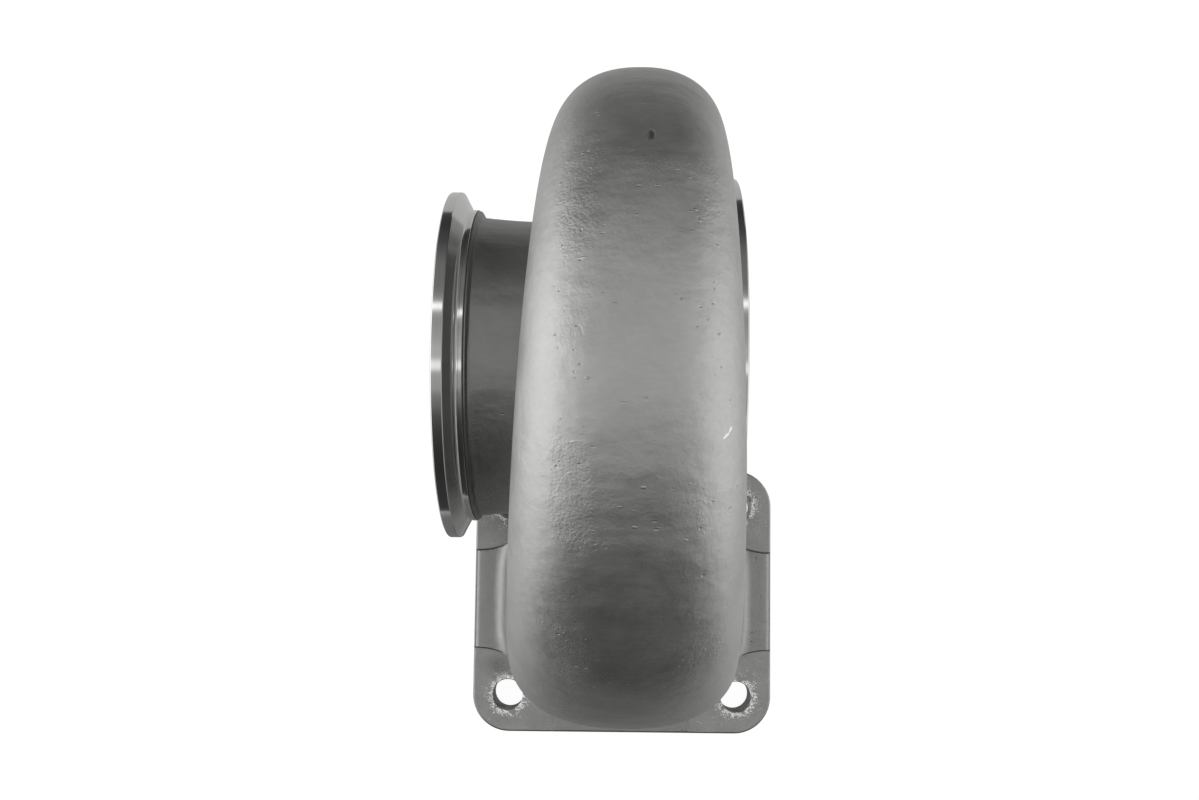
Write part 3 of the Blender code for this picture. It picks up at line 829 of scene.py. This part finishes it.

# %% Cast steel: its worn flanks, its neck with painted shade, darker near the flange, and the cutter's edge
LEFT_FLANK, RIGHT_FLANK = -16.0 * MM, 20.0 * MM
parts = parts_of(tree, place)
off_left = calculate(tree, "ABSOLUTE", calculate(tree, "SUBTRACT", parts["X"], LEFT_FLANK))
left_flank = ranged(tree, off_left, 3.0 * MM, 9.0 * MM, 0.14, 0.0)
right_flank = ranged(tree, parts["X"], RIGHT_FLANK - 5.0 * MM, RIGHT_FLANK, 0.0, 0.07)
handling = calculate(tree, "ADD", brushed["Blotches"], calculate(tree, "ADD", left_flank, right_flank))
crowd = ranged(tree, handling, 0.47, 0.60, 0.12, 1.0)
worn = ranged(tree, handling, 0.55, 0.68, 0.0, 1.0)
dashes = calculate(tree, "MULTIPLY", calculate(tree, "SUBTRACT", ridges, nicks), crowd)
crumples = calculate(tree, "MULTIPLY", worn, skin_grain["Grain"])
# Painted shade in the valley round the neck, which the same mask also makes a little smoother.
centred = mapped(tree, place, (0.0, -AXIS_Y, -AXIS_HEIGHT), (0.0, 1.0, 1.0))
neck = ranged(tree, length_of(tree, centred), 55.0 * MM, 70.0 * MM, 1.0, 0.0)
# Darker towards the flange: the cast colour darkens from 25 mm down to 17 mm above the gasket face.
darker_near_flange = ranged(tree, parts["Z"], 17.0 * MM, 25.0 * MM, 1.0, 0.0)
# The cutter's edge line: a shallow groove in the height, and painted shade in the colour.
edge = use(tree, corner, {"Place": place})["Cutter groove and shade"]

# %% Cast steel: the flaw, ragged at its border and faint on its left
flaw_spot = mark_at(tree, place, (4.8, 139.3, 193.0), (1.55, 3.7, 2.7))
ragged = calculate(tree, "MULTIPLY_ADD", skin_grain["Grain"], 0.7, flaw_spot["Distance"])
flaw = calculate(tree, "MULTIPLY", ranged(tree, ragged, 0.75, 1.35, 1.0, 0.0),
                 ranged(tree, flaw_spot["Sideways"], -0.9, 0.2, 0.25, 1.0))

# %% [markdown]
# ## Handling marks
#
# A row is a mark's centre, its turn in degrees, its half sizes and its height, all lengths in millimetres.
# Below zero it is a dent, and one that stands up is also brighter. The first two are one curved scratch.

# %% Cast steel: the handling marks
HANDLING_MARKS = [
    ((26.9, 55.0, 201.0), 66.0, (1.7, 0.6, 4.0), 0.16),
    ((25.7, 53.3, 202.6), 46.0, (2.1, 0.6, 4.0), 0.16),
    ((-13.8, 80.5, 210.3), 20.0, (0.7, 2.6, 3.0), -0.07),
    ((-15.4, 50.9, 207.1), 5.0, (1.8, 0.5, 3.0), 0.10),
    ((-19.9, 44.4, 203.4), 0.0, (0.7, 0.6, 2.0), -0.18),
    ((-19.2, 45.6, 204.0), 0.0, (0.5, 0.4, 2.0), -0.15),
    ((-2.0, 61.1, 211.3), 3.0, (2.0, 0.4, 3.0), -0.07),
    ((-0.9, 133.4, 196.7), 28.0, (1.8, 0.35, 4.0), 0.08),
    ((14.3, 149.9, 182.6), -28.0, (2.2, 0.4, 4.0), -0.07),
    ((-14.0, 100.5, 209.0), 4.0, (2.2, 0.4, 4.0), 0.09),
    ((-19.5, 104.0, 205.5), 30.0, (1.6, 0.4, 4.0), 0.09)]
BRIGHTEST_MARK = 0.16
handled, rubbed = 0.0, 0.0
for centre, degrees, half_sizes, rise in HANDLING_MARKS:
    mark = mark_at(tree, place, centre, half_sizes, degrees)["Mask"]
    handled = calculate(tree, "MULTIPLY_ADD", mark, rise, handled)
    if rise > 0.0:
        bright = ranged(tree, mark, 0.1, 0.55, 0.0, (rise / BRIGHTEST_MARK) ** 2)
        rubbed = calculate(tree, "MAXIMUM", bright, rubbed)
print("handling marks:", len(HANDLING_MARKS))

# %% Cast steel: height, roughness and colour
height = weighted_sum(tree, ((skin_grain["Waves"], 0.22), (skin_grain["Grain"], 0.052), (crumples, 0.13),
                             (brushed["Grain"], 0.036), (brushed["Waves"], 0.35), (pits, -0.06),
                             (dents, -0.12), (dashes, 0.16), (flaw, -0.25), (edge, -0.3), (handled, 1.0)))
roughness = ranged(tree, skin_grain["Blotches"], 0.3, 0.7, 0.47, 0.57, False)
roughness = calculate(tree, "MULTIPLY_ADD", neck, -0.06, roughness)
shade = weighted_sum(tree, ((skin_grain["Blotches"], 0.65), (brushed["Grain"], 0.35)))
colour = tone(tree, ranged(tree, shade, 0.33, 0.67, 0.0, 1.0, False),
              (0.49, 0.49, 0.475), (0.59, 0.59, 0.585))
colour = tone(tree, rubbed, colour, (0.92, 0.92, 0.90))
# Painted shade darkens the neck's valley and the cutter's edge; pits and the flaw are dark marks, and the
# metal is darker towards the flange.
dark = strongest(tree, ((pits, 0.35), (flaw, 0.65), (neck, 0.44), (darker_near_flange, 0.26), (edge, 0.75)))
steel_shader(cast_steel, roughness, height, tone(tree, dark, colour, (0.05, 0.05, 0.048)))

# %% [markdown]
# ## Turned steel
#
# A lathe tool leaves fine rings round the turbine axis, closer together than the eye can part, and otherwise a
# near mirror. The rings depend only on the place along the axis and on the distance from it, so those two
# numbers are all that the noise reads.

# %% Turned steel
tree = turned_steel.node_tree
place = add(tree, "ShaderNodeTexCoord").outputs["Object"]
parts = parts_of(tree, mapped(tree, place, (0.0, -AXIS_Y, -AXIS_HEIGHT)))
squared = calculate(tree, "MULTIPLY", parts["Z"], parts["Z"])
radius = calculate(tree, "SQRT", calculate(tree, "MULTIPLY_ADD", parts["Y"], parts["Y"], squared))
on_lathe = add(tree, "ShaderNodeCombineXYZ", {"X": parts["X"], "Y": radius}).outputs["Vector"]
lathe_rings = grain_at(tree, on_lathe, 0.16, 1.4)
skin_grain = grain_at(tree, place, 0.5, 6.0)
nicks = marks_at(tree, place, 5.0, 0.25, 0.07)
height = weighted_sum(tree, ((lathe_rings["Grain"], 0.0022), (lathe_rings["Waves"], 0.004),
                             (skin_grain["Grain"], 0.0012), (nicks, -0.02)))
roughness = ranged(tree, lathe_rings["Grain"], 0.3, 0.7, 0.09, 0.14, False)
colour = tone(tree, ranged(tree, lathe_rings["Blotches"], 0.35, 0.65, 0.0, 1.0, False),
              (0.60, 0.60, 0.59), (0.66, 0.66, 0.65))
steel_shader(turned_steel, roughness, height, colour)

# %% [markdown]
# ## Milled steel
#
# The faced corners of the flange carry the cutter's arcs, and round each hole the drill left a burr that was
# hammered flat: bright, ragged lace, close to the hole. A fine noise that is cut off at a level makes the
# lace, and a slower noise says where it stands. One corner has a dull patch beside its hole.

# %% Milled steel: arcs and burrs
BURR_REACH = (6.3 * MM, 11.5 * MM)
tree = milled_steel.node_tree
place = add(tree, "ShaderNodeTexCoord").outputs["Object"]
spot = use(tree, corner, {"Place": place})
arcs_place = add(tree, "ShaderNodeCombineXYZ", {"X": spot["From cutter"]}).outputs["Vector"]
arcs = grain_at(tree, arcs_place, 0.35, 2.0)
skin_grain = grain_at(tree, place, 0.45, 3.0)
near_hole = ranged(tree, spot["From hole"], *BURR_REACH, 1.0, 0.0)
zone = ranged(tree, skin_grain["Waves"], 0.42, 0.47, 0.0, 1.0)
lace_level = calculate(tree, "MULTIPLY_ADD", near_hole, 0.20, skin_grain["Grain"])
burr = calculate(tree, "MULTIPLY", zone, ranged(tree, lace_level, 0.645, 0.67, 0.0, 1.0))

# %% Milled steel: height, roughness and colour
height = weighted_sum(tree, ((arcs["Grain"], 0.012), (skin_grain["Grain"], 0.03),
                             (burr, calculate(tree, "MULTIPLY", skin_grain["Grain"], 0.07))))
roughness = ranged(tree, burr, 0.0, 1.0, 0.38, 0.17, False)
dull_patch = mark_at(tree, place, (-50.7, -27.7, 15.0), (8.5, 7.5, 8.0))["Mask"]
# Painted shade along the cutter's edge, beside the dull patch.
dark = strongest(tree, ((dull_patch, ranged(tree, skin_grain["Grain"], 0.35, 0.6, 0.15, 0.55)),
                        (spot["Cutter groove and shade"], 0.75)))
plain = tone(tree, ranged(tree, skin_grain["Blotches"], 0.35, 0.65, 0.0, 1.0, False),
             (0.345, 0.345, 0.335), (0.405, 0.405, 0.395))
plain = tone(tree, dark, plain, (0.04, 0.04, 0.04))
steel_shader(milled_steel, roughness, height, tone(tree, burr, plain, (0.97, 0.97, 0.95)))

# %% [markdown]
# ## Camera
#
# The picture looks straight down on the crown of the scroll, from about half a metre away. The turn and the
# shift come from lining up the flange's corners, its holes and the rims of both clamp rings.

# %% Camera at the photograph's place
IMAGE_WIDTH, IMAGE_HEIGHT = 1199, 800
FOCAL_PIXELS = 1268.57
LENS_CENTRE_X, LENS_CENTRE_Y = 614.96, 434.69
SENSOR_MM = 36.0
view_data = bpy.data.cameras.new("camera")
view_data.sensor_width = SENSOR_MM
view_data.lens = SENSOR_MM * FOCAL_PIXELS / IMAGE_WIDTH
view_data.shift_x = (IMAGE_WIDTH / 2.0 - LENS_CENTRE_X) / IMAGE_WIDTH
view_data.shift_y = (LENS_CENTRE_Y - IMAGE_HEIGHT / 2.0) / IMAGE_WIDTH
view_data.clip_start = 0.01
camera = bpy.data.objects.new("camera", view_data)
bpy.context.scene.collection.objects.link(camera)
bpy.context.scene.camera = camera
print("lens, mm:", round(view_data.lens, 2))

# %% Camera's turn and place
CAMERA_TURN = {"X": -0.0810, "Y": 0.0027, "Z": -0.0117}
turn_x, turn_y, turn_z = (Matrix.Rotation(angle, 3, axis) for axis, angle in CAMERA_TURN.items())
camera.matrix_world = (turn_x @ turn_y @ turn_z).transposed().to_4x4()
camera.location = (-4.95 * MM, 25.58 * MM, 543.48 * MM)

# %% [markdown]
# ## The studio
#
# Polished metal shows the room it stands in, so the room matters as much as the metal. The photograph was
# taken in a light tent: the turned ring shows two narrow lamps above, a pale roof between them, dark cloth low
# at the front and back, and the pale table. The scroll's flanks show a wide soft lamp at either side. The tent
# here is a large ball round the part whose inside glows with that pattern. The camera looks through it.

# %% Light tent: how bright it is in each direction
TENT_RADIUS = 5.0
BRIGHTEST = 2.0
# Degrees from straight up towards +Y, and the glow there.
ROOF = [(-110.0, 0.05), (-75.0, 0.035), (-60.0, 0.04), (-47.0, 0.06), (-37.0, 0.11), (-31.0, 0.20),
        (-24.0, 0.27), (-21.5, 0.43), (-12.0, 0.45), (-9.8, 0.48), (-8.8, 1.25), (-3.6, 1.25), (-2.4, 0.54),
        (4.5, 0.58), (9.0, 0.48), (22.0, 0.36), (27.0, 0.45), (28.4, 1.00), (29.2, 1.75), (31.7, 1.75),
        (33.4, 0.43), (38.0, 0.28), (43.0, 0.22), (60.0, 0.20), (68.0, 0.14), (78.0, 0.08), (95.0, 0.045),
        (106.0, 0.06), (112.0, 0.08)]
# Each side lamp's glow, how much brighter it is towards one direction, and that direction.
SIDES = {"left": (1.48, 0.90, (0.0, 0.50, 0.87)), "right": (1.16, 0.55, (0.0, -0.34, 0.94))}
SIDE_START, SIDE_FULL = 0.6, 0.93
ANGLES, RINGS = 64, 33


def ball(name, radius, material):
    """Point (u, v) lies at x = -r cos u, y = r sin u sin v and z = r sin u cos v."""
    u = np.linspace(0.02, math.pi - 0.02, RINGS)[:, None]
    v = np.arange(ANGLES) * 2.0 * math.pi / ANGLES
    rings = np.stack([-np.cos(u) + 0.0 * v, np.sin(u) * np.sin(v), np.sin(u) * np.cos(v)], axis=-1) * radius
    return solid_from_rings(name, rings, [material])


# %% Light tent: its cloth
tent_cloth = new_finish("tent_cloth")
tree = tent_cloth.node_tree
tree.nodes.clear()
place = add(tree, "ShaderNodeTexCoord").outputs["Object"]
direction = add(tree, "ShaderNodeVectorMath", {0: place}, operation="NORMALIZE").outputs[0]
parts = parts_of(tree, direction)
angle = calculate(tree, "ARCTAN2", parts["Y"], parts["Z"])
ramp = add(tree, "ShaderNodeValToRGB", {"Fac": calculate(tree, "MULTIPLY_ADD", angle, 0.5 / math.pi, 0.5)})
elements = ramp.color_ramp.elements
for number, (degrees, glow) in enumerate(ROOF):
    element = elements[number] if number < 2 else elements.new(1.0)
    element.position = degrees / 360.0 + 0.5
    element.color = (*[glow / BRIGHTEST] * 3, 1.0)
roof = calculate(tree, "MULTIPLY", ramp.outputs["Color"], BRIGHTEST)
side_lamps = []
for level, lean, brightest_way in SIDES.values():
    towards = add(tree, "ShaderNodeVectorMath", {0: direction, 1: brightest_way}, operation="DOT_PRODUCT")
    side_lamps.append(calculate(tree, "MULTIPLY_ADD", towards.outputs["Value"], lean, level))
side_lamp = add(tree, "ShaderNodeMix", {"Factor": calculate(tree, "GREATER_THAN", parts["X"], 0.0),
                                        "A": side_lamps[0], "B": side_lamps[1]}).outputs["Result"]
side = ranged(tree, calculate(tree, "ABSOLUTE", parts["X"]), SIDE_START, SIDE_FULL, 0.0, 1.0)
glow = add(tree, "ShaderNodeMix", {"Factor": side, "A": roof, "B": side_lamp}).outputs["Result"]
lamp = add(tree, "ShaderNodeEmission", {"Strength": glow})
add(tree, "ShaderNodeOutputMaterial", {"Surface": lamp.outputs["Emission"]})
tent = ball("tent", TENT_RADIUS, tent_cloth)
tent.visible_camera = False
print("tent radius, m:", TENT_RADIUS)

# %% [markdown]
# ## Floor and background
#
# The floor is pale paper just under the gasket face, which glows enough to come out white and still takes a
# faint shadow. In the metal its glow carries a painted shadow: dim close to the part, and pale further off.
# Under one bolt hole a dark spot of painted shadow lies in the paper and shows only through that hole. The
# world behind it is plain white.

# %% Floor: its paper
SHADE_PLACE, SHADE_SCALE = (25.0 * MM, 75.0 * MM, 0.0), (1.25, 1.0, 0.0)
SHADE_EDGE, SHADE_GLOW = (105.0 * MM, 190.0 * MM), (0.09, 0.43)
HOLE_SHADOW_EDGE, HOLE_SHADOW_GLOW = (9.0 * MM, 11.0 * MM), (0.05, 0.95)
floor_paper = new_finish("floor_paper")
tree = floor_paper.node_tree
tree.nodes.clear()
path = add(tree, "ShaderNodeLightPath").outputs
place = add(tree, "ShaderNodeTexCoord").outputs["Object"]
# Painted shadow in the glow that reflections see: dim near the part, pale further off.
from_shade = length_of(tree, mapped(tree, place, SHADE_PLACE, SHADE_SCALE))
seen_in_metal = ranged(tree, from_shade, *SHADE_EDGE, *SHADE_GLOW)
# Painted shadow: a dark spot in the paper under one bolt hole, seen only through that hole.
from_hole = length_of(tree, mapped(tree, place, (BOLT_X * MM, -BOLT_Y * MM, 0.0), (1.0, 1.0, 0.0)))
seen_directly = ranged(tree, from_hole, *HOLE_SHADOW_EDGE, *HOLE_SHADOW_GLOW)
glow = add(tree, "ShaderNodeMix", {"Factor": path["Is Camera Ray"], "A": seen_in_metal,
                                   "B": seen_directly}).outputs["Result"]
lamp = add(tree, "ShaderNodeEmission", {"Strength": glow})
paper = add(tree, "ShaderNodeBsdfDiffuse", {"Color": (0.2, 0.2, 0.2, 1.0)})
both = add(tree, "ShaderNodeAddShader", {0: lamp.outputs["Emission"], 1: paper.outputs["BSDF"]})
add(tree, "ShaderNodeOutputMaterial", {"Surface": both.outputs["Shader"]})

# %% Floor: its sheet, and the world
FLOOR_CORNERS = [(-0.5, -0.22), (0.5, -0.22), (0.5, 0.5), (-0.5, 0.5)]
FLOOR_DROP = 0.2 * MM
mesh = bpy.data.meshes.new("floor")
mesh.from_pydata([(x, y, -FLOOR_DROP) for x, y in FLOOR_CORNERS], [], [(0, 1, 2, 3)])
mesh.materials.append(floor_paper)
floor = bpy.data.objects.new("floor", mesh)
bpy.context.scene.collection.objects.link(floor)

world = bpy.data.worlds.new("studio")
bpy.context.scene.world = world
world.use_nodes = True
world.node_tree.nodes["Background"].inputs["Color"].default_value = (1.0, 1.0, 1.0, 1.0)
bpy.context.scene.view_settings.view_transform = "Standard"
print("floor at z, mm:", -FLOOR_DROP / MM)

# %% [markdown]
# ## The end
#
# The view layer is brought up to date.

# %% Bring the view layer up to date
bpy.context.view_layer.update()
